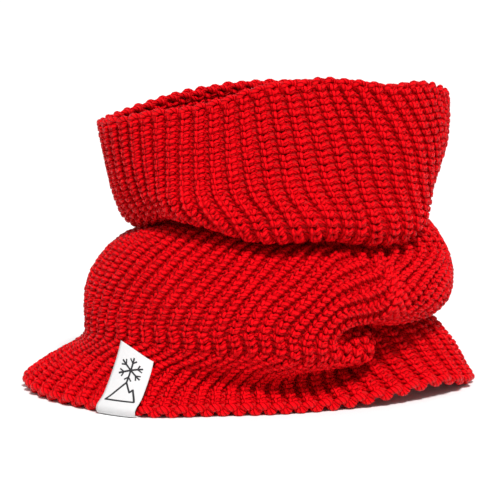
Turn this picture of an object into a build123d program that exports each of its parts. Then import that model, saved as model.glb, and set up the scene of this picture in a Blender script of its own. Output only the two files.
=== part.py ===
from build123d import *
import math
import os

import numpy as np

# A chunky neck gaiter: one tube of full-cardigan rib knit, slouched into folds where it stands.
# Millimetres, +Z up, +X to the wearer's side that carries the pinched fold, -Y the front.
# The origin is on the surface it stands on, under the middle of the object.

# Driving dimensions
FABRIC = 6.4            # thickness of the rib knit
AXIS_X, AXIS_Y = 9.0, 4.0     # the upright axis that the sections below are drawn around
DROP = 2.2              # how far the drawn heights settle, so that the hem's edge lies flat
SEAM_AZ = 90.0          # the linked seam runs down the back
EDGE_W, EDGE_H = 7.0, 5.4     # bound-off and cast-on edges, across and along the fabric
GAP = 0.25              # clearance between neighbouring pieces
SEAM_W, SEAM_H = 6.0, 2.4     # the seam's ridge on the inside
LABEL_W, LABEL_T = 22.5, 0.6  # folded tape label: width and thickness
LABEL_OUT, LABEL_IN = 38.5, 20.0    # how far it runs up the outside and the inside
LABEL_SKEW = 0.40       # its outer end is cut by the hem at a slant: more on the left
LABEL_AZ, LABEL_DRIFT = 223.9, -3.8    # where it is folded, and how its top leans away
PRINT_T, STROKE = 0.14, 0.8   # inked motif: thickness and stroke width
THREAD_W, STITCH = 0.5, 2.0   # sewing thread inside the hem, and the length of a stitch

AROUND, ALONG = 60, 64  # sections around the tube, and points along each
PANELS = 12             # the tube is kept as this many panels around
FIT = 0.1               # how closely

# Hand-drawn sections. Each is the middle line of the fabric, from the rim to the hem, in the
# upright plane at that azimuth, as (distance from the axis, height).
STATIONS = ("rim", "collar_mid", "collar_low", "lip_a", "under_a", "crease_a", "shoulder",
            "roll_top", "bulge", "lip_b", "under_b", "crease_b", "tongue", "under_t",
            "crease_t", "skirt", "hem")
SECTIONS = {
    0: [(107.5, 179), (105, 147), (98, 130), (95, 122), (93, 117), (91, 112), (93, 106),
        (103, 94), (110.7, 68), (106.5, 57), (99, 52), (86, 47), (102, 39), (109, 32),
        (115, 24), (120, 15), (125, 7)],
    35: [(83, 178), (88, 148), (88, 128), (88, 119), (85, 112), (76, 106), (85, 100),
         (93, 88), (98, 67), (95, 56), (88, 50), (76, 44), (84, 38), (88, 30),
         (92, 22), (97, 14), (103, 6.5)],
    90: [(63, 180), (68, 150), (74, 126), (76, 113), (72, 106), (58, 101), (68, 94.5),
         (76, 84), (79, 62), (79, 50), (77, 42), (74, 35.5), (71, 29), (69, 23),
         (68, 17), (69, 11), (73, 6.5)],
    145: [(77, 171), (80, 146), (80, 124), (79, 115), (74, 108), (58, 103), (71, 96.5),
          (86, 86), (94, 62), (93, 49), (92, 42), (91.5, 36), (92, 30), (95, 24),
          (100, 18), (107, 12), (115, 6.5)],
    180: [(96, 162), (92, 141), (87, 120), (83.5, 111), (76, 104), (60, 99), (73, 93.5),
          (93, 84), (104.5, 62), (105, 49), (104.5, 42), (104.5, 37), (106.5, 32), (111, 27.5),
          (119, 22.5), (131, 15.5), (143, 7)],
    215: [(77, 171), (77, 148), (77, 130), (76, 122), (71, 115), (55, 109), (68, 102.5),
          (84, 92), (95, 64), (95.5, 50), (95.5, 42), (96.5, 35.5), (98.5, 30), (102, 24),
          (106.5, 18), (112, 12), (119, 6.5)],
    230: [(69, 174), (73, 150), (78, 130), (80, 122), (75, 115.5), (58, 109), (69, 102.5),
          (82, 90), (91, 64), (90.5, 50), (89.5, 42), (88.5, 35.5), (88, 30), (89.5, 24),
          (94, 18), (100.5, 12), (109, 6.5)],
    245: [(65, 178), (70, 150), (78, 129), (83, 121), (79, 114), (61, 108), (69, 101.5),
          (81, 88), (90, 64), (88.5, 50), (86.5, 42), (83.5, 35.5), (80, 30), (77, 24.5),
          (76.5, 18), (81.5, 11.5), (91.5, 6.5)],
    270: [(60, 187), (68, 152), (76, 125), (81, 113), (77, 106), (57, 100), (66, 94),
          (78, 84), (87, 63), (86.5, 50), (83.5, 42), (80, 36), (76, 30), (70.5, 25),
          (66, 18.5), (69, 11), (78.5, 6.5)],
    292: [(63, 190), (70, 153), (79, 126), (85, 114), (80, 107), (58, 100), (67, 94),
          (81, 85), (90, 65), (89.5, 55), (89, 49), (88.5, 44.5), (86, 37), (77, 30.5),
          (62, 24), (65.5, 12.5), (77, 6.5)],
    310: [(65, 190), (77, 153), (84, 125), (87, 111), (82, 104), (62, 97.5), (73, 91.5),
          (86, 84), (93, 70), (91.5, 61), (84, 55.5), (68, 50), (83, 37), (75, 30.5),
          (62, 25.5), (67.5, 15), (83, 8.2)],
    318: [(74.5, 189), (84, 152), (88, 124), (90, 109), (85.5, 102), (68, 96), (77.5, 90),
          (88.5, 82.5), (95.5, 70), (94, 60.5), (86.5, 55.5), (64, 49.5), (82, 37), (74, 31),
          (62, 26.5), (71.5, 17), (89, 10)],
    326: [(84, 187), (91, 150), (92, 123), (92.5, 108), (89, 101.5), (75, 95.5), (82, 89),
          (91, 81), (98, 69.5), (96, 60), (89, 53.5), (62, 46), (68, 36), (68, 30.5),
          (69, 25.5), (80, 17.5), (95, 11.5)],
    343: [(98, 187), (101, 148), (98, 123), (97, 110), (94, 104), (86, 99), (91, 93),
          (101, 83), (108, 68), (104, 57.5), (96, 52), (72, 46), (86, 36.5), (92, 31.5),
          (97, 25.5), (104, 19), (111, 13.5)],
}
# A fold can't be sharper than the fabric allows: half the height of each turn.
FOLDS = {"crease_a": 4.2, "crease_b": 4.2, "tongue": 4.2, "crease_t": 4.2}
FOLD_SHARE = 0.4        # of the way to the next station, where there is no fold
FINE, EVEN, EASE = 12, 300, 12      # points for each step, along a line, and rounds of easing


def spline_matrix(knots, at, period=None):
    """Matrix that turns values at the knots into values of the smooth cubic through them."""
    knots = np.asarray(knots, float)
    count = len(knots)
    closed = period is not None
    gaps = np.diff(knots)
    if closed:
        gaps = np.append(gaps, period - knots[-1] + knots[0])
        at = (np.asarray(at, float) - knots[0]) % period + knots[0]
    bend = np.eye(count)
    pull = np.zeros((count, count))
    for i in range(0 if closed else 1, count if closed else count - 1):
        left, right = (i - 1) % count, (i + 1) % count
        before, after = gaps[i - 1], gaps[i]
        bend[i] = 0
        bend[i, left] += before
        bend[i, i] += 2 * (before + after)
        bend[i, right] += after
        pull[i, left] += 6 / before
        pull[i, i] -= 6 / before + 6 / after
        pull[i, right] += 6 / after
    curve = np.linalg.solve(bend, pull)
    last = count - 1 if closed else count - 2
    low = np.clip(np.searchsorted(knots, at, side="right") - 1, 0, last)
    high = (low + 1) % count
    gap = gaps[low]
    b = (at - knots[low]) / gap
    a = 1 - b
    unit = np.eye(count)
    ends = a[:, None] * unit[low] + b[:, None] * unit[high]
    bends = ((a**3 - a) * gap**2 / 6)[:, None] * curve[low]
    return ends + bends + ((b**3 - b) * gap**2 / 6)[:, None] * curve[high]


def unit(vectors):
    return vectors / np.linalg.norm(vectors, axis=-1, keepdims=True)


def section_points(points):
    """A section's stations, with each fold opened into a turn of two points."""
    points = np.array(points, float)
    drawn = []
    for i, station in enumerate(STATIONS):
        if station not in FOLDS:
            drawn.append(points[i])
            continue
        before, after = points[i] - points[i - 1], points[i + 1] - points[i]
        room = FOLD_SHARE * min(np.linalg.norm(before), np.linalg.norm(after))
        across = unit(unit(before) + unit(after)) * min(FOLDS[station], room)
        drawn += [points[i] - across, points[i] + across]
    return np.array(drawn)


def section_line(points):
    """The smooth line through a section's stations, with FINE points for each step of it."""
    drawn = section_points(points)
    steps = np.linalg.norm(np.diff(drawn, axis=0), axis=1)
    knots = np.concatenate([[0.0], np.cumsum(steps)])
    at = [low + gap * np.arange(FINE) / FINE for low, gap in zip(knots, steps)]
    return spline_matrix(knots, np.append(at, knots[-1])) @ drawn


def evened(line, count):
    """The same line with its points at equal distances, its tight kinks eased."""
    for spread in (EASE, 0):
        run = np.linalg.norm(np.diff(line, axis=0), axis=1)
        run = np.concatenate([[0.0], np.cumsum(run)])
        at = np.linspace(0, run[-1], count)
        line = np.stack([np.interp(at, run, column) for column in line.T], axis=1)
        for _ in range(spread):
            line[1:-1] = (line[:-2] + 2 * line[1:-1] + line[2:]) / 4
    return line


def middle(azimuths, alongs):
    """Points of the fabric's middle surface, one row for each azimuth.

    The alongs run from 0 at the rim to 1 at the hem."""
    around = spline_matrix(list(SECTIONS), azimuths, 360.0)
    lines = np.einsum("ua,afc->ufc", around, LINES)
    spots = []
    for azimuth, line in zip(np.radians(azimuths), lines):
        line = evened(line, EVEN)
        at = np.asarray(alongs) * (EVEN - 1)
        low = np.clip(at.astype(int), 0, EVEN - 2)
        part = (at - low)[:, None]
        reach, height = (line[low] * (1 - part) + line[low + 1] * part).T
        spots.append(np.stack([AXIS_X + reach * np.cos(azimuth),
                               AXIS_Y + reach * np.sin(azimuth), height - DROP], axis=1))
    return np.array(spots)


LINES = np.array([section_line(points) for points in SECTIONS.values()])


def frames(azimuths, alongs, turn=0.25, step=0.004):
    """Middle points, with unit vectors around, along (towards the hem) and outwards."""
    azimuths, alongs = np.asarray(azimuths, float), np.asarray(alongs, float)
    here = middle(azimuths, alongs)
    around = unit(middle(azimuths + turn, alongs) - middle(azimuths - turn, alongs))
    low, high = np.clip(alongs - step, 0, 1), np.clip(alongs + step, 0, 1)
    along = unit(middle(azimuths, high) - middle(azimuths, low))
    out = unit(np.cross(along, around))
    return here, around, along, out


def fitted(grid, closeness=FIT):
    """A smooth face through a grid of points, rows first."""
    rows = [[Vector(*point) for point in row] for row in grid]
    return Face.make_surface_from_array_of_points(rows, tol=closeness)


def ruled_ring(first, second):
    """Strips around the object, between neighbouring pairs of two rings of edges."""
    return [Face.make_surface_from_curves(a, b) for a, b in zip(first, second)]


def make_knit_tube():
    """The rib tube: an outer and an inner skin, joined by a strip at the rim and at the hem.

    It is one fabric, kept as a ring of abutting panels, so that each stays simple."""
    azimuths = SEAM_AZ + np.arange(AROUND) * 360 / AROUND
    here, _, _, out = frames(azimuths, np.linspace(0, 1, ALONG))
    skins = [here + side * out * FABRIC / 2 for side in (1, -1)]
    lines = [[Edge.make_spline([Vector(*point) for point in line]) for line in grid]
             for grid in skins]
    bridges = [[Edge.make_line(Vector(*outer[end]), Vector(*inner[end]))
                for outer, inner in zip(*skins)] for end in (0, -1)]
    strips = [ruled_ring(edges, edges[1:] + edges[:1]) for edges in lines + bridges]
    cuts = {at: Face.make_surface_from_curves(lines[0][at], lines[1][at])
            for at in range(0, AROUND, AROUND // PANELS)}
    panels = []
    for start in cuts:
        stop = start + AROUND // PANELS
        faces = [ring[at] for ring in strips for at in range(start, stop)]
        panels.append(Solid(Shell(faces + [cuts[start], cuts[stop % AROUND]])))
    return Compound(panels)


def slab(top, bottom):
    """A sheet between two grids of points that have the same corners."""
    upper, lower = fitted(top), fitted(bottom)
    strips = [Face.make_surface_from_curves(a, b)
              for a, b in zip(upper.edges(), lower.edges())]
    return Solid(Shell([upper, lower, *strips]))


def edge_ring(end, side, count):
    """The middle of the cord along the rim (0) or the hem (1), with its two directions."""
    azimuths = SEAM_AZ + np.linspace(0, 360, count + 1)
    here, _, along, out = frames(azimuths, [end])
    along, out = along[:, 0], out[:, 0]
    return azimuths, here[:, 0] + side * along * (EDGE_H / 2 + GAP), along, out


def make_bind_off_chain():
    """A rounded cord around the rim."""
    _, core, along, out = edge_ring(0, -1, 60)
    turns = np.linspace(0, 2 * np.pi, 17)
    across, up = np.cos(turns) * EDGE_W / 2, np.sin(turns) * EDGE_H / 2
    grid = core[:, None] + across[None, :, None] * out[:, None] + up[None, :, None] * along[:, None]
    return Solid(Shell([fitted(grid)]))


def make_cast_on_edge():
    """The hem's cord: flat where it stands, and squeezed where the label is folded under it."""
    azimuths, core, along, out = edge_ring(1, 1, 180)
    rows = []
    for azimuth, spot, down, side in zip(azimuths, core, along, out):
        wide, high = side * EDGE_W / 2, down * EDGE_H / 2
        reach, lean = math.hypot(wide[2], high[2]), math.atan2(high[2], wide[2])
        near = np.clip((9.5 - abs(azimuth - LABEL_AZ)) / 3.0, 0, 1)
        floor = max((LABEL_T + GAP) * near, spot[2] - reach + 0.12)
        open_to = math.acos((floor - spot[2]) / reach)
        turns = lean + np.linspace(-open_to, open_to, 19)
        rows.append(spot + np.cos(turns)[:, None] * wide + np.sin(turns)[:, None] * high)
    skin = fitted(np.array(rows), 0.02)
    left, right = [edge for edge in skin.edges() if edge.is_closed]
    return Solid(Shell([skin, Face.make_surface_from_curves(left, right.reversed())]))


def make_back_seam():
    """The ridge that the linked seam leaves down the inside of the back."""
    stops = np.linspace(0.01, 0.99, 60)
    here, around, _, out = frames([SEAM_AZ], stops)
    core = here[0] - out[0] * (FABRIC / 2 + GAP + SEAM_H / 2)
    rings_of = []
    for spot, side, up in zip(core, around[0], out[0]):
        turns = np.linspace(0, 2 * np.pi, 13)
        rings_of.append([spot + math.cos(turn) * SEAM_W / 2 * side
                         + math.sin(turn) * SEAM_H / 2 * up for turn in turns])
    skin = fitted(np.array(rings_of))
    ends = [edge for edge in skin.edges() if edge.is_closed]
    caps = [Face.make_surface([edge]) for edge in ends]
    return Solid(Shell([skin, *caps]))


def label_path(side):
    """The folded tape's path at a place across it: azimuths, alongs, and how far out it lies."""
    length = np.linalg.norm(np.diff(middle([LABEL_AZ], np.linspace(0, 1, 200))[0], axis=0),
                            axis=1).sum()
    out_leg = LABEL_OUT - LABEL_SKEW * side
    legs = [(np.linspace(out_leg, 1.0, 26), 1), (np.linspace(1.0, LABEL_IN, 12), -1)]
    drift = LABEL_AZ + LABEL_DRIFT * legs[0][0] / LABEL_OUT
    spread = side / LABEL_W * (10.5 + 3.5 * legs[0][0] / LABEL_OUT)
    foot = LABEL_AZ + side / LABEL_W * 10.8
    outside = (drift + spread, 1 - legs[0][0] / length)
    inside = (np.full(12, foot), 1 - legs[1][0] / length)
    return outside, inside, foot


def label_grid(lift, widen=0.0, outer_only=False, inset=0.0):
    """Points of the tape, across and along, lifted off its middle (away from the fabric)."""
    rows = []
    half = LABEL_W / 2 - inset + widen / 2
    for side in np.linspace(-half, half, 7):
        (out_az, out_at), (in_az, in_at), foot = label_path(side)
        rest = FABRIC / 2 + GAP + LABEL_T / 2
        row = []
        for azimuth, at in zip(out_az, out_at):
            here, _, _, out = frames([azimuth], [at])
            row.append(here[0, 0] + out[0, 0] * (rest + lift))
        if outer_only:
            rows.append(row[2:-6])
            continue
        here, _, along, out = (item[0, 0] for item in frames([foot], [1.0]))
        core = here + along * (EDGE_H / 2 + GAP)
        wide, deep = EDGE_W / 2 + GAP + LABEL_T / 2, EDGE_H / 2 + GAP + LABEL_T / 2
        for turn in np.linspace(-0.15, math.pi + 0.15, 22):
            spot = core + math.cos(turn) * wide * out + math.sin(turn) * deep * along
            normal = math.cos(turn) / wide * out + math.sin(turn) / deep * along
            spot[2] = max(spot[2], LABEL_T / 2 + 0.08)
            if spot[2] < LABEL_T / 2 + 0.09:
                normal = np.array([0.0, 0.0, -1.0])
            row.append(spot + normal / np.linalg.norm(normal) * lift)
        for azimuth, at in zip(in_az, in_at):
            here, _, _, out = frames([azimuth], [at])
            row.append(here[0, 0] - out[0, 0] * (rest + lift))
        rows.append(row)
    return np.array(rows)


def make_label_band():
    return slab(label_grid(LABEL_T / 2), label_grid(-LABEL_T / 2))


def motif():
    """A generic winter motif: a six-armed flake that touches the taller of two peaks."""
    bars = []
    for turn in range(0, 360, 60):
        bars.append(Pos(0, 6) * Rot(0, 0, turn) * Pos(0, 3.2) * Rectangle(STROKE, 6.4 + STROKE))
        for lean in (-45, 45):
            barb = Rot(0, 0, lean) * Pos(0, 1.2) * Rectangle(STROKE * 0.8, 2.4)
            bars.append(Pos(0, 6) * Rot(0, 0, turn) * Pos(0, 3.8) * barb)
    spots = [(-7.5, -12.0), (0.0, -1.0), (3.4, -6.4), (4.8, -4.4), (8.0, -12.0), (-7.5, -12.0)]
    for (x0, y0), (x1, y1) in zip(spots, spots[1:]):
        length = math.dist((x0, y0), (x1, y1))
        turn = math.degrees(math.atan2(y1 - y0, x1 - x0))
        bar = Rot(0, 0, turn) * Rectangle(length + STROKE, STROKE)
        bars.append(Pos((x0 + x1) / 2, (y0 + y1) / 2) * bar)
    return bars[0].fuse(*bars[1:])


def make_label_print():
    """The motif's ink, a thin layer on the tape's outer face."""
    rise = LABEL_T / 2 + 0.03
    layer = slab(label_grid(rise + PRINT_T, outer_only=True, inset=1.0),
                 label_grid(rise, outer_only=True, inset=1.0))
    (out_az, out_at), _, _ = label_path(0.0)
    here, around, along, out = (item[0, 0] for item in frames([out_az[13]], [out_at[13]]))
    plane = Plane(origin=Vector(*here), x_dir=Vector(*around), z_dir=Vector(*out))
    return layer & extrude(plane * motif(), 25, both=True)


def make_label_thread():
    """A row of zigzag stitches on the tape inside the hem."""
    rest = FABRIC / 2 + GAP + LABEL_T + 0.05 + THREAD_W / 2
    half = LABEL_W / 2 - 1.5
    count = int(2 * half / STITCH)
    path = []
    for step in range(count * 2 + 1):
        side = -half + step * STITCH / 2
        _, (in_az, _), foot = label_path(side)
        here, _, along, out = (item[0, 0] for item in frames([foot], [0.93]))
        sway = 0.8 * (1 if step % 2 else -1)
        path.append(Vector(*(here - out * rest + along * sway)))
    line = Polyline(*path)
    return sweep(Plane(origin=path[0], z_dir=line % 0) * Circle(THREAD_W / 2), line,
                 transition=Transition.ROUND)


PIECES = {
    "knit_tube": make_knit_tube,
    "bind_off_chain": make_bind_off_chain,
    "cast_on_edge": make_cast_on_edge,
    "back_seam": make_back_seam,
    "label_band": make_label_band,
    "label_print": make_label_print,
    "label_thread": make_label_thread,
}


def main():
    os.makedirs("parts", exist_ok=True)
    for name, make in PIECES.items():
        shape = make()
        box = shape.bounding_box()
        print(name, "valid", shape.is_valid, "solids", len(shape.solids()),
              "volume", round(shape.volume, 1), "from", box.min, "to", box.max)
        export_step(shape, f"parts/{name}.step")


main()
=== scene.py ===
import math

import bpy
import numpy as np
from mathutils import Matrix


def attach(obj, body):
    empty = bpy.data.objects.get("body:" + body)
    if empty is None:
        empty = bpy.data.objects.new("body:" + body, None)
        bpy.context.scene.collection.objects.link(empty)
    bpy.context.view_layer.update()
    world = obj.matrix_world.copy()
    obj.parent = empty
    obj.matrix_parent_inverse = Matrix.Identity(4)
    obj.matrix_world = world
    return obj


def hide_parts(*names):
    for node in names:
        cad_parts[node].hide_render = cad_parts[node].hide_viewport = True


# A chunky neck gaiter in full-cardigan rib, knitted yarn by yarn over its folded middle surface.
# Shapes are worked out in millimetres, in the row frame, and turned into metres by mesh_of.

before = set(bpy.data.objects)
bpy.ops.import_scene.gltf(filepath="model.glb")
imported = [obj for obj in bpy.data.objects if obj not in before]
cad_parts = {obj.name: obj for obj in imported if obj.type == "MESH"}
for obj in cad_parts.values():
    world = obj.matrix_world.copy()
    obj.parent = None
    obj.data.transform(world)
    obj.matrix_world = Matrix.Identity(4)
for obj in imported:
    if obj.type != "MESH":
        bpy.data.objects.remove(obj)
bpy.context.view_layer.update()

MM = 0.001
AXIS = (9.0, 4.0, -2.2)     # the upright axis that the sections are drawn around, and their base
RIBS, ROWS = 60, 67
SEED = 7

# Sections, given one by one: the middle line of the fabric, from the rim to the hem, in the
# upright plane at that azimuth, as (distance from the axis, height).
STATIONS = ("rim", "collar_mid", "collar_low", "lip_a", "under_a", "crease_a", "shoulder",
            "roll_top", "bulge", "lip_b", "under_b", "crease_b", "tongue", "under_t",
            "crease_t", "skirt", "hem")
SECTIONS = {
    0: [(107.5, 179), (105, 147), (98, 130), (95, 122), (93, 117), (91, 112), (93, 106),
        (103, 94), (110.7, 68), (106.5, 57), (99, 52), (86, 47), (102, 39), (109, 32),
        (115, 24), (120, 15), (125, 7)],
    35: [(83, 178), (88, 148), (88, 128), (88, 119), (85, 112), (76, 106), (85, 100),
         (93, 88), (98, 67), (95, 56), (88, 50), (76, 44), (84, 38), (88, 30),
         (92, 22), (97, 14), (103, 6.5)],
    90: [(63, 180), (68, 150), (74, 126), (76, 113), (72, 106), (58, 101), (68, 94.5),
         (76, 84), (79, 62), (79, 50), (77, 42), (74, 35.5), (71, 29), (69, 23),
         (68, 17), (69, 11), (73, 6.5)],
    145: [(77, 171), (80, 146), (80, 124), (79, 115), (74, 108), (58, 103), (71, 96.5),
          (86, 86), (94, 62), (93, 49), (92, 42), (91.5, 36), (92, 30), (95, 24),
          (100, 18), (107, 12), (115, 6.5)],
    180: [(96, 162), (92, 141), (87, 120), (83.5, 111), (76, 104), (60, 99), (73, 93.5),
          (93, 84), (104.5, 62), (105, 49), (104.5, 42), (104.5, 37), (106.5, 32), (111, 27.5),
          (119, 22.5), (131, 15.5), (143, 7)],
    215: [(77, 171), (77, 148), (77, 130), (76, 122), (71, 115), (55, 109), (68, 102.5),
          (84, 92), (95, 64), (95.5, 50), (95.5, 42), (96.5, 35.5), (98.5, 30), (102, 24),
          (106.5, 18), (112, 12), (119, 6.5)],
    230: [(69, 174), (73, 150), (78, 130), (80, 122), (75, 115.5), (58, 109), (69, 102.5),
          (82, 90), (91, 64), (90.5, 50), (89.5, 42), (88.5, 35.5), (88, 30), (89.5, 24),
          (94, 18), (100.5, 12), (109, 6.5)],
    245: [(65, 178), (70, 150), (78, 129), (83, 121), (79, 114), (61, 108), (69, 101.5),
          (81, 88), (90, 64), (88.5, 50), (86.5, 42), (83.5, 35.5), (80, 30), (77, 24.5),
          (76.5, 18), (81.5, 11.5), (91.5, 6.5)],
    270: [(60, 187), (68, 152), (76, 125), (81, 113), (77, 106), (57, 100), (66, 94),
          (78, 84), (87, 63), (86.5, 50), (83.5, 42), (80, 36), (76, 30), (70.5, 25),
          (66, 18.5), (69, 11), (78.5, 6.5)],
    292: [(63, 190), (70, 153), (79, 126), (85, 114), (80, 107), (58, 100), (67, 94),
          (81, 85), (90, 65), (89.5, 55), (89, 49), (88.5, 44.5), (86, 37), (77, 30.5),
          (62, 24), (65.5, 12.5), (77, 6.5)],
    310: [(65, 190), (77, 153), (84, 125), (87, 111), (82, 104), (62, 97.5), (73, 91.5),
          (86, 84), (93, 70), (91.5, 61), (84, 55.5), (68, 50), (83, 37), (75, 30.5),
          (62, 25.5), (67.5, 15), (83, 8.2)],
    318: [(74.5, 189), (84, 152), (88, 124), (90, 109), (85.5, 102), (68, 96), (77.5, 90),
          (88.5, 82.5), (95.5, 70), (94, 60.5), (86.5, 55.5), (64, 49.5), (82, 37), (74, 31),
          (62, 26.5), (71.5, 17), (89, 10)],
    326: [(84, 187), (91, 150), (92, 123), (92.5, 108), (89, 101.5), (75, 95.5), (82, 89),
          (91, 81), (98, 69.5), (96, 60), (89, 53.5), (62, 46), (68, 36), (68, 30.5),
          (69, 25.5), (80, 17.5), (95, 11.5)],
    343: [(98, 187), (101, 148), (98, 123), (97, 110), (94, 104), (86, 99), (91, 93),
          (101, 83), (108, 68), (104, 57.5), (96, 52), (72, 46), (86, 36.5), (92, 31.5),
          (97, 25.5), (104, 19), (111, 13.5)],
}
# A fold can't be sharper than the fabric allows: half the height of each turn.
FOLDS = {"crease_a": 4.2, "crease_b": 4.2, "tongue": 4.2, "crease_t": 4.2}
FOLD_SHARE = 0.4        # of the way to the next station, where there is no fold
FINE, EVEN, EASE = 12, 300, 12      # points for each step, along a line, and rounds of easing
# How far each station is turned about the axis, in degrees: all round, and more by the pinch.
TURN_ALL = (0, -2, -3, -3, -2, 5, 10, 5, -2, -6, -7, -8, -8, -8, -8, -8, -8)
TURN_PINCH = (0, 14, 23, 27, 27, 23, 17, 5, -5, -9, -10, -11, -12, -13, -14, -14, -14)
PINCH_AZ = 335.0
RING_STEP, RINGS = 1.5, 361     # degrees between the sections, and rings from rim to hem
PER_RIB, PER_ROW = 8, 6         # grid columns to a rib, and grid rows to a row of knitting
ROW_MM = 3.8                    # height of a row, where it runs on past the rim or the hem


def spline_matrix(knots, at, period=None):
    """Matrix that turns values at the knots into values of the smooth cubic through them."""
    knots = np.asarray(knots, float)
    count = len(knots)
    closed = period is not None
    gaps = np.diff(knots)
    if closed:
        gaps = np.append(gaps, period - knots[-1] + knots[0])
        at = (np.asarray(at, float) - knots[0]) % period + knots[0]
    bend = np.eye(count)
    pull = np.zeros((count, count))
    for i in range(0 if closed else 1, count if closed else count - 1):
        left, right = (i - 1) % count, (i + 1) % count
        before, after = gaps[i - 1], gaps[i]
        bend[i] = 0
        bend[i, left] += before
        bend[i, i] += 2 * (before + after)
        bend[i, right] += after
        pull[i, left] += 6 / before
        pull[i, i] -= 6 / before + 6 / after
        pull[i, right] += 6 / after
    curve = np.linalg.solve(bend, pull)
    last = count - 1 if closed else count - 2
    low = np.clip(np.searchsorted(knots, at, side="right") - 1, 0, last)
    high = (low + 1) % count
    gap = gaps[low]
    b = (at - knots[low]) / gap
    a = 1 - b
    values = np.eye(count)
    ends = a[:, None] * values[low] + b[:, None] * values[high]
    bends = ((a**3 - a) * gap**2 / 6)[:, None] * curve[low]
    return ends + bends + ((b**3 - b) * gap**2 / 6)[:, None] * curve[high]


def unit(vectors):
    """The vectors at length one."""
    return vectors / np.linalg.norm(vectors, axis=-1, keepdims=True)


def section_points(points):
    """A section's stations, with each fold opened into a turn of two points."""
    points = np.array(points, float)
    drawn = []
    for i, station in enumerate(STATIONS):
        if station not in FOLDS:
            drawn.append(points[i])
            continue
        before, after = points[i] - points[i - 1], points[i + 1] - points[i]
        room = FOLD_SHARE * min(np.linalg.norm(before), np.linalg.norm(after))
        across = unit(unit(before) + unit(after)) * min(FOLDS[station], room)
        drawn += [points[i] - across, points[i] + across]
    return np.array(drawn)


def section_line(points):
    """The smooth line through a section's stations, with FINE points for each step of it."""
    drawn = section_points(points)
    knots = distances(drawn)
    steps = np.diff(drawn, axis=0)
    steps = np.linalg.norm(steps, axis=1)
    at = [low + gap * np.arange(FINE) / FINE for low, gap in zip(knots, steps)]
    return spline_matrix(knots, np.append(at, knots[-1])) @ drawn


def distances(line):
    """How far along the line each of its points is."""
    steps = np.linalg.norm(np.diff(line, axis=0), axis=1)
    return np.concatenate([[0.0], np.cumsum(steps)])


def spaced(line, count):
    """The same line with its points at equal distances."""
    run = distances(line)
    at = np.linspace(0, run[-1], count)
    return np.stack([np.interp(at, run, column) for column in line.T], axis=1)


def evened(line, count):
    """The same line with its points at equal distances, its tight kinks eased."""
    line = spaced(line, count)
    for _ in range(EASE):
        line[1:-1] = (line[:-2] + 2 * line[1:-1] + line[2:]) / 4
    return spaced(line, count)


def middle(azimuths, alongs):
    """Points of the fabric's middle surface, one row for each azimuth.

    The alongs run from 0 at the rim to 1 at the hem."""
    around = spline_matrix(list(SECTIONS), azimuths, 360.0)
    lines = np.einsum("ua,afc->ufc", around, LINES)
    spots = []
    for azimuth, line in zip(np.radians(azimuths), lines):
        line = evened(line, EVEN)
        at = np.asarray(alongs) * (EVEN - 1)
        low = np.clip(at.astype(int), 0, EVEN - 2)
        part = (at - low)[:, None]
        reach, height = (line[low] * (1 - part) + line[low + 1] * part).T
        spots.append(np.stack([AXIS[0] + reach * np.cos(azimuth),
                               AXIS[1] + reach * np.sin(azimuth), height + AXIS[2]], axis=1))
    return np.array(spots)


LINES = np.array([section_line(points) for points in SECTIONS.values()])


# ---------------------------------------------------------------- the fabric's middle surface
def wale_grid(ribs_fine, rows_fine):
    """The middle surface as a grid whose columns follow the ribs and whose rows the courses."""
    rings = middle(np.arange(0, 360, RING_STEP), np.linspace(0, 1, RINGS))
    sections = [section_points(points) for points in SECTIONS.values()]
    steps = np.linalg.norm(np.diff(sections, axis=1), axis=2)
    reach = np.concatenate([[0.0], np.cumsum(steps.mean(axis=0))])
    at, spot = [], 0
    for station in STATIONS:
        wide = 2 if station in FOLDS else 1
        at.append(reach[spot:spot + wide].mean() / reach[-1])
        spot += wide
    turned = np.array([TURN_ALL, TURN_PINCH]).T
    turns = spline_matrix(at, np.linspace(0, 1, RINGS)) @ turned / 360
    share = np.arange(ribs_fine) / ribs_fine
    pinch = ((1 + np.cos(2 * np.pi * (share - PINCH_AZ / 360))) / 2) ** 4
    columns = np.empty((ribs_fine, RINGS, 3))
    closed = np.concatenate([rings, rings[:1]])
    for j in range(RINGS):
        run = distances(closed[:, j])
        where = (share + turns[j, 0] + turns[j, 1] * pinch) % 1.0 * run[-1]
        for axis in range(3):
            columns[:, j, axis] = np.interp(where, run, closed[:, j, axis])
    return np.array([spaced(line, rows_fine) for line in columns])


GRID = wale_grid(RIBS * PER_RIB, ROWS * PER_ROW + 1)
AROUND = unit(np.roll(GRID, -2, axis=0) - np.roll(GRID, 2, axis=0))
ALONG = unit(np.gradient(GRID, axis=1))
OUT = unit(np.cross(ALONG, AROUND))


def lookup(table, ribs, rows):
    """A table's value at places counted in ribs around and in rows down from the rim."""
    x = (np.asarray(ribs, float) % RIBS) * PER_RIB
    y = np.clip(np.asarray(rows, float), 0, ROWS) * PER_ROW
    i, j = np.floor(x).astype(int), np.minimum(np.floor(y).astype(int), table.shape[1] - 2)
    a, b = (x - i)[..., None], (y - j)[..., None]
    i, k = i % table.shape[0], (i + 1) % table.shape[0]
    low = table[i, j] * (1 - a) + table[k, j] * a
    high = table[i, j + 1] * (1 - a) + table[k, j + 1] * a
    return low * (1 - b) + high * b


def place(ribs, rows, lift):
    """Points on the fabric, lifted outwards; rows may run on past the rim or the hem."""
    rows = np.asarray(rows, float)
    spot = lookup(GRID, ribs, rows)
    over = rows - np.clip(rows, 0, ROWS)
    spot = spot + lookup(ALONG, ribs, rows) * (over * ROW_MM)[..., None]
    return spot + unit(lookup(OUT, ribs, rows)) * np.asarray(lift, float)[..., None]


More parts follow.
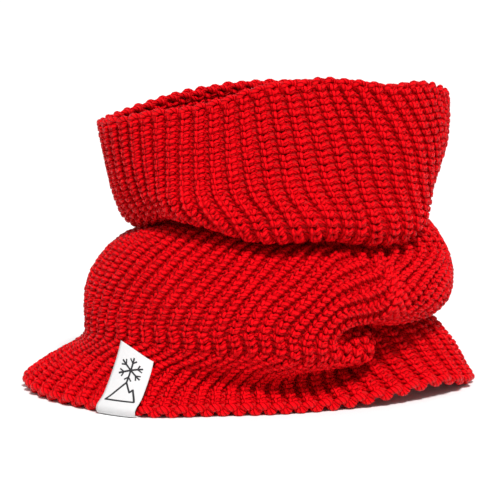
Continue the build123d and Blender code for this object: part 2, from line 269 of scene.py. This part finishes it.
# ---------------------------------------------------------------- meshes
def mesh_of(name, points, faces, material, uv=None, smooth=True):
    """A mesh object from points in millimetres, riding on the root."""
    mesh = bpy.data.meshes.new(name)
    points = np.asarray(points, float).reshape(-1, 3).copy()
    faces = np.asarray(faces, int)
    mesh.vertices.add(len(points))
    mesh.vertices.foreach_set("co", (points * MM).astype(np.float32).ravel())
    mesh.loops.add(faces.size)
    mesh.loops.foreach_set("vertex_index", faces.ravel().astype(np.int32))
    mesh.polygons.add(len(faces))
    count, corners = faces.shape
    mesh.polygons.foreach_set("loop_start", (np.arange(count) * corners).astype(np.int32))
    mesh.polygons.foreach_set("loop_total", np.full(count, corners, np.int32))
    mesh.polygons.foreach_set("use_smooth", np.full(count, smooth))
    if uv is not None:
        layer = mesh.uv_layers.new(name="strand")
        layer.data.foreach_set("uv", np.asarray(uv, np.float32).ravel())
    mesh.update(calc_edges=True)
    mesh.validate()
    piece = bpy.data.objects.new(name, mesh)
    bpy.context.collection.objects.link(piece)
    mesh.materials.append(material)
    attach(piece, "root")
    return piece


ANY_WAY = (0.31, 0.17, 0.93)    # no strand starts out along this


def sweep(paths, radius, sides, closed):
    """Round strands along paths (strands, points, 3). Gives points, quads and strand uv."""
    count = paths.shape[1]
    if closed:
        ahead, behind = np.roll(paths, -1, axis=1), np.roll(paths, 1, axis=1)
    else:
        ahead = np.concatenate([paths[:, 1:], paths[:, -1:]], axis=1)
        behind = np.concatenate([paths[:, :1], paths[:, :-1]], axis=1)
    tangent = unit(ahead - behind)
    side = np.empty_like(paths)
    side[:, 0] = unit(np.cross(tangent[:, 0], np.array(ANY_WAY)))
    for k in range(1, count):
        leant = (side[:, k - 1] * tangent[:, k]).sum(-1)[:, None]
        side[:, k] = unit(side[:, k - 1] - tangent[:, k] * leant)
    other = np.cross(tangent, side)
    if closed:
        back = side[:, -1] - tangent[:, 0] * (side[:, -1] * tangent[:, 0]).sum(-1)[:, None]
        miss = np.arctan2((back * other[:, 0]).sum(-1), (back * side[:, 0]).sum(-1))
        fix = -miss[:, None] * np.linspace(0, 1, count)[None]
    else:
        fix = np.zeros(paths.shape[:2])
    turn = np.arange(sides) * 2 * np.pi / sides
    angle = turn[None, None] + fix[..., None]
    radius = np.broadcast_to(radius, paths.shape[:2])
    ring = (np.cos(angle)[..., None] * side[:, :, None]
            + np.sin(angle)[..., None] * other[:, :, None])
    points = paths[:, :, None] + ring * radius[..., None, None]
    strands = len(paths)
    spans = count if closed else count - 1
    s, k, m = np.meshgrid(np.arange(strands), np.arange(spans), np.arange(sides), indexing="ij")
    near, far, m2 = (s * count + k) * sides, (s * count + (k + 1) % count) * sides, (m + 1) % sides
    quads = np.stack([near + m, near + m2, far + m2, far + m], axis=-1)
    run = np.linalg.norm(np.diff(paths, axis=1, append=paths[:, :1]), axis=2)
    reach = np.concatenate([np.zeros((strands, 1)), np.cumsum(run, axis=1)], axis=1)
    u0, u1 = reach[s, k], reach[s, k + 1]
    v0, v1 = m / sides, (m + 1) / sides
    uv = np.stack([np.stack([u0, v0], -1), np.stack([u0, v1], -1),
                   np.stack([u1, v1], -1), np.stack([u1, v0], -1)], axis=-2)
    return points.reshape(-1, 3), quads.reshape(-1, 4), uv.reshape(-1, 2)


LABEL_AZ, LABEL_REACH = 224.0, 7.0      # the label's middle, and the yarn over it each way
ON_LABEL, ON_TABLE, PRESSED = 1.0, 0.15, 0.1    # the lowest yarn, and how thick it is pressed


def settled(points):
    """Yarn that would sink into the table, or into the label folded under it, is pressed flat."""
    points = points.copy()
    azimuth = np.degrees(np.arctan2(points[:, 1] - AXIS[1], points[:, 0] - AXIS[0])) % 360
    floor = np.where(abs(azimuth - LABEL_AZ) < LABEL_REACH, ON_LABEL, ON_TABLE)
    low = points[:, 2] < floor
    points[low, 2] = floor[low] + PRESSED * (1 - np.exp(points[low, 2] - floor[low]))
    return points


# ---------------------------------------------------------------- materials
def sockets(node, values):
    """Sets the node's inputs by name."""
    for name, value in values.items():
        node.inputs[name].default_value = value


def new_material(name):
    """A material with its nodes, its links and its shader."""
    material = bpy.data.materials.new(name)
    material.use_nodes = True
    nodes, links = material.node_tree.nodes, material.node_tree.links
    return material, nodes, links, nodes["Principled BSDF"]


def worked(tree, operation, *values):
    """The output of a math node whose inputs are numbers or other nodes' outputs."""
    nodes, links = tree
    node = nodes.new("ShaderNodeMath")
    node.operation = operation
    for socket, value in zip(node.inputs, values):
        if isinstance(value, float):
            socket.default_value = value
        else:
            links.new(value, socket)
    return node.outputs[0]


PLY_TURN, PLIES = 0.42, 3.0     # plies passed in a millimetre of yarn, and plies in it
GROOVE = 0.22                   # the share of a ply that its groove takes
FIBRE_RUN, FIBRE_HIGH = 0.22, 0.55      # how long the fibres look, and how high
GROOVE_SHADE_PAINT, PATCH_TONE = 0.55, 0.75    # how much the painted shade in the ply grooves, and the patches, change the colour
GLOSS = {"Roughness": 0.45, "Specular IOR Level": 0.2, "Specular Tint": (1.0, 0.25, 0.22, 1)}


def yarn_material(name, colour=(0.87, 0.0013, 0.0065), dark=(0.55, 0.0006, 0.003)):
    """Plied yarn: strands that wind round it with painted shade in the grooves between them,
    fibres that lie along them, a soft sheen.
    """
    material, nodes, links, shader = new_material(name)
    tree = nodes, links
    uv = nodes.new("ShaderNodeUVMap")
    uv.uv_map = "strand"
    split = nodes.new("ShaderNodeSeparateXYZ")
    links.new(uv.outputs["UV"], split.inputs[0])
    along, around = split.outputs["X"], split.outputs["Y"]
    phase = worked(tree, "SUBTRACT", worked(tree, "MULTIPLY", around, PLIES),
                   worked(tree, "MULTIPLY", along, PLY_TURN))
    groove = nodes.new("ShaderNodeMapRange")
    groove.interpolation_type = "SMOOTHSTEP"
    sockets(groove, {"From Min": 0.0, "From Max": GROOVE, "To Min": 0.0, "To Max": 1.0})
    links.new(worked(tree, "PINGPONG", phase, 0.5), groove.inputs["Value"])
    spread = nodes.new("ShaderNodeCombineXYZ")
    links.new(phase, spread.inputs["X"])
    links.new(worked(tree, "MULTIPLY", along, FIBRE_RUN), spread.inputs["Y"])
    fibre = nodes.new("ShaderNodeTexNoise")
    sockets(fibre, {"Scale": 9.0, "Detail": 3.0, "Roughness": 0.6})
    links.new(spread.outputs[0], fibre.inputs["Vector"])
    bump = nodes.new("ShaderNodeBump")
    sockets(bump, {"Strength": 1.0, "Distance": 0.0012})
    links.new(worked(tree, "MULTIPLY_ADD", fibre.outputs["Fac"], FIBRE_HIGH, groove.outputs[0]),
              bump.inputs["Height"])
    coords = nodes.new("ShaderNodeTexCoord")
    patch = nodes.new("ShaderNodeTexNoise")
    sockets(patch, {"Scale": 60.0, "Detail": 2.0})
    links.new(coords.outputs["Object"], patch.inputs["Vector"])
    patches = worked(tree, "MULTIPLY", patch.outputs["Fac"], PATCH_TONE)
    # Towards the darker colour in the ply grooves as painted shade, and in random patches of tone.
    mix = nodes.new("ShaderNodeMix")
    mix.data_type = "RGBA"
    mix.inputs[6].default_value = (*dark, 1)
    mix.inputs[7].default_value = (*colour, 1)
    links.new(worked(tree, "MULTIPLY_ADD", groove.outputs[0], GROOVE_SHADE_PAINT, patches),
              mix.inputs[0])
    links.new(mix.outputs[2], shader.inputs["Base Color"])
    links.new(bump.outputs[0], shader.inputs["Normal"])
    sockets(shader, GLOSS)
    return material


def plain_material(name, colour, rough, weave=None):
    """A matt material, with a fine weave across it if one is asked for."""
    material, nodes, links, shader = new_material(name)
    sockets(shader, {"Base Color": (*colour, 1), "Roughness": rough, "Specular IOR Level": 0.3})
    if weave:
        coords = nodes.new("ShaderNodeUVMap")
        coords.uv_map = "strand"
        wave = nodes.new("ShaderNodeTexWave")
        wave.bands_direction = "Y"
        sockets(wave, {"Scale": weave, "Distortion": 0.6, "Detail": 1.0})
        links.new(coords.outputs["UV"], wave.inputs["Vector"])
        bump = nodes.new("ShaderNodeBump")
        sockets(bump, {"Strength": 0.35, "Distance": 0.0002})
        links.new(wave.outputs["Fac"], bump.inputs["Height"])
        links.new(bump.outputs[0], shader.inputs["Normal"])
    return material


YARN = yarn_material("red_yarn")
# The core is coloured darker than the yarn: painted shade in the gaps between the loops.
CORE = plain_material("knit_core_painted_shade", (0.50, 0.0004, 0.002), 0.9)
TAPE = plain_material("white_tape", (0.66, 0.66, 0.66), 0.8, weave=1.3)
INK = plain_material("black_ink", (0.02, 0.02, 0.022), 0.7)
THREAD = plain_material("white_thread", (0.85, 0.85, 0.84), 0.6)

# ---------------------------------------------------------------- the knit, one ring of yarn a row
# Half of a loop on the outside: across in ribs from its middle, up in rows, out in millimetres,
# and the strand's radius there. The inside's loops are the same, half a rib along.
HALF_LOOP = (
    (-0.030, -0.20, 0.9, 1.15),
    (-0.065, -0.10, 2.3, 1.50),
    (-0.110, 0.03, 3.1, 1.72),
    (-0.160, 0.18, 3.0, 1.72),
    (-0.205, 0.34, 2.1, 1.50),
    (-0.240, 0.52, 0.4, 1.15),
    (-0.240, 0.80, -0.8, 0.95),
    (-0.14, 1.02, -1.0, 0.95),
)
HALF_INSIDE = ((-0.06, -0.16, 0.7, 1.2), (-0.16, 0.02, 2.4, 1.5), (-0.29, 0.24, 2.5, 1.5),
               (-0.39, 0.56, 0.6, 1.1), (-0.20, 1.05, -0.4, 1.0))


ROW_START = 0.62        # how far below its row's top line a loop's middle lies
SWAY = (0.012, 0.045, 0.05, 0.04)       # unevenness across, along, outwards and in thickness
STRAND_SIDES = 8


def whole_loop(half, middle_point):
    """Both halves of a loop, with its tip between them."""
    right = [(-x, y, z, r) for x, y, z, r in reversed(half)]
    return list(half) + [middle_point] + right


def rib_path():
    """One rib's share of a row: its loop outside, and the loop inside between it and the next."""
    outside = whole_loop(HALF_LOOP, (0.0, 1.10, -1.1, 1.0))
    inside = [(x + 0.5, y, -z, r)
              for x, y, z, r in whole_loop(HALF_INSIDE, (0.0, 1.1, -0.5, 1.0))]
    cross = [(0.25, -0.26, 0.0, 1.1)]
    return np.array(outside + cross + inside + [(0.75, -0.26, 0.0, 1.1)])


def knit_rows(first, last):
    """Points, quads and uv of the rows from first up to last, one closed strand each."""
    pattern = rib_path()
    rows = np.arange(first, last)
    ribs = np.arange(RIBS)
    x = ribs[None, :, None] + pattern[None, None, :, 0] + np.zeros((len(rows), 1, 1))
    down = rows[:, None, None] + ROW_START - pattern[None, None, :, 1] + 0 * x
    lift = pattern[None, None, :, 2] + 0 * x
    radius = pattern[None, None, :, 3] + 0 * x
    sway = chance.normal(0, 1, (len(rows), RIBS, 1, 4))
    x = x + SWAY[0] * sway[..., 0]
    down = down + SWAY[1] * sway[..., 1]
    lift = lift * (1 + SWAY[2] * sway[..., 2])
    radius = radius * (1 + SWAY[3] * sway[..., 3])
    x, down, lift, radius = (part.reshape(len(rows), -1) for part in (x, down, lift, radius))
    return sweep(place(x, down, lift), radius, STRAND_SIDES, True)


chance = np.random.default_rng(SEED)
ROWS_A_PIECE = 7
for first in range(0, ROWS, ROWS_A_PIECE):
    points, quads, uv = knit_rows(first, min(first + ROWS_A_PIECE, ROWS))
    piece = mesh_of(f"knit_rows_{first:02d}", settled(points), quads, YARN, uv)
    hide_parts("knit_tube")


CORE_PER_RIB, CORE_PER_ROW = 4, 2
CORE_FROM, CORE_SHORT = 0.3, 0.2        # rows that it starts below the rim and ends above the hem


def core_sheet():
    """The dense middle of the fabric, seen only between the loops, coloured darker than the yarn
    as painted shade.
    """
    around, down = RIBS * CORE_PER_RIB, ROWS * CORE_PER_ROW
    x, y = np.meshgrid(np.arange(around) / CORE_PER_RIB,
                       np.linspace(CORE_FROM, ROWS - CORE_SHORT, down + 1), indexing="ij")
    points = place(x, y, 0 * x)
    i, j = np.meshgrid(np.arange(around), np.arange(down), indexing="ij")
    k = (i + 1) % around
    wide = down + 1
    quads = np.stack([i * wide + j, i * wide + j + 1, k * wide + j + 1, k * wide + j], axis=-1)
    points, quads = settled(points.reshape(-1, 3)), quads.reshape(-1, 4)
    return mesh_of("knit_core", points, quads, CORE)


core = core_sheet()
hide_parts("knit_tube")


# ---------------------------------------------------------------- rim, hem and seam
EDGE_SWAY, EDGE_SIDES = (0.015, 0.06, 0.05), 10
SEAM_RIB = RIBS * 0.25          # it runs down the back
SEAM_LIFT, SEAM_SWING = -4.6, 0.5       # how far inside the seam's loops lie, and their waves
SEAM_APART, SEAM_WAVE = 0.10, 0.09      # how far each loop is from its middle, and swings, in ribs
SEAM_YARN = 1.1


def edge_strands(name, node, base, way, strands, radius):
    """Strands that repeat once a rib along an edge; way is +1 to go on past the hem."""
    paths, widths = [], []
    for shift, inside, pattern in strands:
        pattern = np.array(pattern)
        sway = chance.normal(0, 1, (RIBS, 1, 3))
        x = np.arange(RIBS)[:, None] + shift + pattern[None, :, 0] + EDGE_SWAY[0] * sway[..., 0]
        y = base + way * (pattern[None, :, 1] * (1 + EDGE_SWAY[1] * sway[..., 1]))
        z = pattern[None, :, 2] * (-1 if inside else 1) * (1 + EDGE_SWAY[2] * sway[..., 2])
        paths.append(place(x.ravel(), y.ravel(), z.ravel()))
        widths.append(np.tile(pattern[:, 3], RIBS) * radius)
    points, quads, uv = sweep(np.array(paths), np.array(widths), EDGE_SIDES, True)
    piece = mesh_of(name, settled(points), quads, YARN, uv)
    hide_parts(node)
    return piece


# One rib's share of an edge strand, as in HALF_LOOP: the rim's arches and the hem's bumps.
ARCH = ((-0.44, 0.10, 1.0, 1.0), (-0.36, 0.42, 2.0, 1.1), (-0.24, 0.72, 2.5, 1.15),
        (-0.08, 0.95, 2.4, 1.1), (0.10, 1.04, 1.8, 1.0), (0.28, 0.92, 1.1, 0.95),
        (0.44, 0.60, 0.6, 0.9))
bind_off = edge_strands("bind_off_chain_yarn", "bind_off_chain", 0.35, -1,
                        [(0.0, False, ARCH), (0.5, True, ARCH)], 1.65)
BUMP = ((-0.50, -0.15, -0.4, 0.7), (-0.36, 0.02, 0.7, 1.2), (-0.22, 0.22, 1.5, 1.75),
        (-0.07, 0.32, 1.9, 2.0), (0.07, 0.32, 1.9, 2.0), (0.22, 0.22, 1.5, 1.75),
        (0.36, 0.02, 0.7, 1.2))
cast_on = edge_strands("cast_on_edge_yarn", "cast_on_edge", ROWS + 0.1, 1,
                       [(0.0, False, BUMP), (0.5, True, BUMP)], 1.22)


def seam():
    """The linked seam: a chain of short loops down the inside of the back."""
    rows = np.arange(0.4, ROWS - 0.3, 0.25)
    swing = np.sin(rows * 2 * np.pi)
    lift = SEAM_LIFT - SEAM_SWING * np.cos(rows * 2 * np.pi)
    paths = np.array([place(SEAM_RIB + way * (SEAM_APART + SEAM_WAVE * swing), rows, lift)
                      for way in (-1, 1)])
    points, quads, uv = sweep(paths, SEAM_YARN, STRAND_SIDES, False)
    piece = mesh_of("back_seam_yarn", settled(points), quads, YARN, uv)
    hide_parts("back_seam")
    return piece


back_seam = seam()

# ---------------------------------------------------------------- the folded tape label
LABEL_W, LABEL_T = 22.5, 0.6
LABEL_OUT, LABEL_IN, LABEL_SKEW = 38.5, 20.0, 0.40
LABEL_FOOT, LABEL_DRIFT = 223.9, -3.8     # where its fold is, and how its top leans away
LABEL_SPAN = 11.8       # degrees around the axis that the tape's width takes
TAUT = 0.75             # how nearly the stiff tape bridges the hem's flare
LABEL_REST = 5.2        # how far the tape's middle lies off the fabric's middle
FOOT_LOW = 3.2          # how far below the fabric's end the tape turns under
TAPE_FLOOR = LABEL_T / 2 + 0.1          # its middle, where it lies on the table
OUT_STEPS, TURN_STEPS, IN_STEPS, WIDE_STEPS = 34, 16, 12, 15
TAPE_EASE = 6


def azimuth_frames(azimuths, alongs):
    """As in the sections' own planes: middle points, along and outward directions."""
    here = np.array([middle([a], [b])[0, 0] for a, b in zip(azimuths, alongs)])
    nearby = np.array([middle([a + 0.3], [b])[0, 0] - middle([a - 0.3], [b])[0, 0]
                       for a, b in zip(azimuths, alongs)])
    ahead = np.array([middle([a], [min(b + 0.004, 1)])[0, 0]
                      - middle([a], [max(b - 0.004, 0)])[0, 0]
                      for a, b in zip(azimuths, alongs)])
    along = unit(ahead)
    return here, along, unit(np.cross(along, unit(nearby)))


LABEL_LINE = np.linalg.norm(np.diff(middle([LABEL_AZ], np.linspace(0, 1, 200))[0], axis=0),
                            axis=1).sum()


def label_line(side):
    """The tape's middle line at one place across it, from its outer end to its inner end."""
    outer = np.linspace(LABEL_OUT - LABEL_SKEW * side, 1.0, OUT_STEPS)
    azimuth = (LABEL_FOOT + LABEL_DRIFT * outer / LABEL_OUT
               + side / LABEL_W * LABEL_SPAN)
    here, _, out = azimuth_frames(azimuth, 1 - outer / LABEL_LINE)
    draped = here + out * LABEL_REST
    share = np.linspace(0, 1, len(outer))[:, None]
    taut = draped[0] * (1 - share) + draped[-1] * share
    line = list(draped * (1 - TAUT) + taut * TAUT)
    foot = LABEL_FOOT + side / LABEL_W * LABEL_SPAN
    here, along, out = azimuth_frames([foot], [1.0])
    core = here[0] + along[0] * FOOT_LOW
    for turn in np.linspace(0.0, math.pi, TURN_STEPS):
        spot = core + math.cos(turn) * LABEL_REST * out[0] + math.sin(turn) * FOOT_LOW * along[0]
        spot[2] = max(spot[2], TAPE_FLOOR)
        line.append(spot)
    inner = np.linspace(1.0, LABEL_IN, IN_STEPS)
    here, _, out = azimuth_frames(np.full(IN_STEPS, foot), 1 - inner / LABEL_LINE)
    line += list(here - out * LABEL_REST)
    return np.array(line)


def label_surface():
    """The tape's middle as a grid, eased along its length, with its outward directions."""
    sides = np.linspace(-LABEL_W / 2, LABEL_W / 2, WIDE_STEPS)
    grid = np.array([label_line(side) for side in sides])
    for _ in range(TAPE_EASE):
        grid[:, 1:-1] = (grid[:, :-2] + 2 * grid[:, 1:-1] + grid[:, 2:]) / 4
    grid[..., 2] = np.maximum(grid[..., 2], TAPE_FLOOR)
    across = unit(np.gradient(grid, axis=0))
    down = unit(np.gradient(grid, axis=1))
    return grid, unit(np.cross(down, across)), sides


TAPE_GRID, TAPE_OUT, TAPE_SIDES = label_surface()
TAPE_RUN = distances(TAPE_GRID[WIDE_STEPS // 2])


def label_band():
    """The tape with its thickness."""
    n, m = TAPE_GRID.shape[:2]
    shells = [TAPE_GRID + side * TAPE_OUT * LABEL_T / 2 for side in (1, -1)]
    points = np.concatenate([shell.reshape(-1, 3) for shell in shells])
    i, j = np.meshgrid(np.arange(n - 1), np.arange(m - 1), indexing="ij")
    top = np.stack([i * m + j, i * m + j + 1, (i + 1) * m + j + 1, (i + 1) * m + j], axis=-1)
    top = top.reshape(-1, 4)
    quads = [top, top[:, ::-1] + n * m]
    border = ([(k, 0) for k in range(n)] + [(n - 1, k) for k in range(1, m)]
              + [(k, m - 1) for k in range(n - 2, -1, -1)] + [(0, k) for k in range(m - 2, 0, -1)])
    index = np.array([a * m + b for a, b in border])
    after = np.roll(index, -1)
    quads.append(np.stack([index, after, after + n * m, index + n * m], axis=-1))
    quads = np.concatenate(quads)
    flat = np.stack(np.meshgrid(TAPE_SIDES, TAPE_RUN, indexing="ij"), axis=-1).reshape(-1, 2)
    uv = np.concatenate([flat, flat])[quads.ravel()]
    piece = mesh_of("label_band_tape", points, quads, TAPE, uv)
    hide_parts("label_band")
    return piece


def on_tape(x, y, lift):
    """A point on the tape's outer face: x across from its middle, y up from the motif's middle."""
    down = MOTIF_AT - y
    i = np.interp(x, TAPE_SIDES, np.arange(len(TAPE_SIDES)))
    j = np.interp(down, TAPE_RUN, np.arange(len(TAPE_RUN)))
    a, b = int(min(i, len(TAPE_SIDES) - 2)), int(min(j, len(TAPE_RUN) - 2))
    p, q = i - a, j - b

    def mix(table):
        return ((table[a, b] * (1 - p) + table[a + 1, b] * p) * (1 - q)
                + (table[a, b + 1] * (1 - p) + table[a + 1, b + 1] * p) * q)
    return mix(TAPE_GRID) + unit(mix(TAPE_OUT)) * (LABEL_T / 2 + lift)


MOTIF_AT = 19.0         # its middle, below the label's outer end
STROKE, FINE_STROKE, STROKE_STEP = 1.05, 0.84, 0.8
INK_FOOT, INK_FACE = 0.02, 0.10         # the ink's two faces, off the tape
FLAKE_AT, ARM = 6.6, 7.4                # the flake's middle above the motif's, and its arms
BARB_AT, BARB, BARB_LEAN = 4.3, 2.8, 0.785
PEAKS = ((-8.2, -13.4), (0.0, -1.2), (3.6, -7.0), (5.0, -4.9), (8.4, -13.4), (-8.2, -13.4))


def motif():
    """The strokes of a generic winter motif: a six-armed flake over two peaks."""
    bars = []
    flake = np.array([0, FLAKE_AT])
    for turn in np.radians(range(0, 360, 60)):
        way = np.array([math.sin(turn), math.cos(turn)])
        bars.append((flake, flake + way * ARM, STROKE))
        for lean in (-BARB_LEAN, BARB_LEAN):
            barb = np.array([math.sin(turn + lean), math.cos(turn + lean)])
            foot = flake + way * BARB_AT
            bars.append((foot, foot + barb * BARB, FINE_STROKE))
    return bars + [(a, b, STROKE) for a, b in zip(PEAKS, PEAKS[1:])]


def label_print():
    """The motif, each stroke a thin strip that follows the tape."""
    points, quads = [], []
    for (x0, y0), (x1, y1), wide in motif():
        length = math.hypot(x1 - x0, y1 - y0)
        dx, dy = (x1 - x0) / length, (y1 - y0) / length
        steps = max(2, int(length / STROKE_STEP))
        base = len(points)
        for k in range(steps + 1):
            t = (k / steps) * (length + wide * 0.6) - wide * 0.3
            for side, lift in ((-1, INK_FOOT), (-1, INK_FACE), (1, INK_FACE), (1, INK_FOOT)):
                x = x0 + dx * t - dy * side * wide / 2
                y = y0 + dy * t + dx * side * wide / 2
                points.append(on_tape(x, y, lift))
        for k in range(steps):
            for c in range(4):
                a, b = base + 4 * k + c, base + 4 * k + (c + 1) % 4
                quads.append((a, b, b + 4, a + 4))
        end = base + 4 * steps
        quads += [(base, base + 3, base + 2, base + 1), (end, end + 1, end + 2, end + 3)]
    piece = mesh_of("label_print_ink", points, quads, INK, smooth=False)
    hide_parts("label_print")
    return piece


THREAD_AT = 0.93        # where it runs, from 0 at the rim to 1 at the hem
THREAD_RADIUS, THREAD_SIDES = 0.25, 6
THREAD_OFF, ZIGZAG = 0.55, 0.8          # off the tape's middle, and each way along it


def label_thread():
    """Zigzag stitches that hold the tape inside the hem."""
    sides = np.arange(-9.5, 9.6, 1.0)
    feet = LABEL_FOOT + sides / LABEL_W * LABEL_SPAN
    here, along, out = azimuth_frames(feet, np.full(len(sides), THREAD_AT))
    sway = np.where(np.arange(len(sides)) % 2, ZIGZAG, -ZIGZAG)[:, None]
    path = here - out * (LABEL_REST + THREAD_OFF) + along * sway
    points, quads, uv = sweep(path[None], THREAD_RADIUS, THREAD_SIDES, False)
    piece = mesh_of("label_thread_row", points, quads, THREAD, uv)
    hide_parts("label_thread")
    return piece


tape = label_band()
ink = label_print()
stitches = label_thread()

# ---------------------------------------------------------------- floor, light and camera
bpy.ops.mesh.primitive_plane_add(size=60, location=(0, 0, 0))
floor = bpy.context.object
floor.name = "floor"
material, nodes, links, shader = new_material("pale_floor")
sockets(shader, {"Base Color": (0.93, 0.93, 0.93, 1), "Roughness": 0.55})
floor.data.materials.append(material)

bpy.context.scene.view_settings.view_transform = "Standard"
world = bpy.data.worlds.new("studio")
bpy.context.scene.world = world
world.use_nodes = True
sockets(world.node_tree.nodes["Background"], {"Color": (1, 1, 1, 1), "Strength": 0.4})


def aimed(way):
    """The rotation of a light that shines from that side."""
    return math.atan2(math.hypot(way[0], way[1]), way[2]), 0, math.atan2(way[0], -way[1])


sun = bpy.data.lights.new("sun", "SUN")
sun.energy, sun.angle = 3.75, math.radians(12)
key = bpy.data.objects.new("sun", sun)
bpy.context.collection.objects.link(key)
key.rotation_euler = aimed((0.20, -0.80, 1.15))

CAMERA_DOWN = 9.2       # degrees that the camera looks down
camera = bpy.data.cameras.new("camera")
camera.lens, camera.sensor_width = 144, 36
camera.shift_x = 0.006
eye = bpy.data.objects.new("camera", camera)
bpy.context.collection.objects.link(eye)
eye.location = (-0.001, -1.196, 0.2778)
eye.rotation_euler = (math.radians(90 - CAMERA_DOWN), 0, 0)
bpy.context.scene.camera = eye
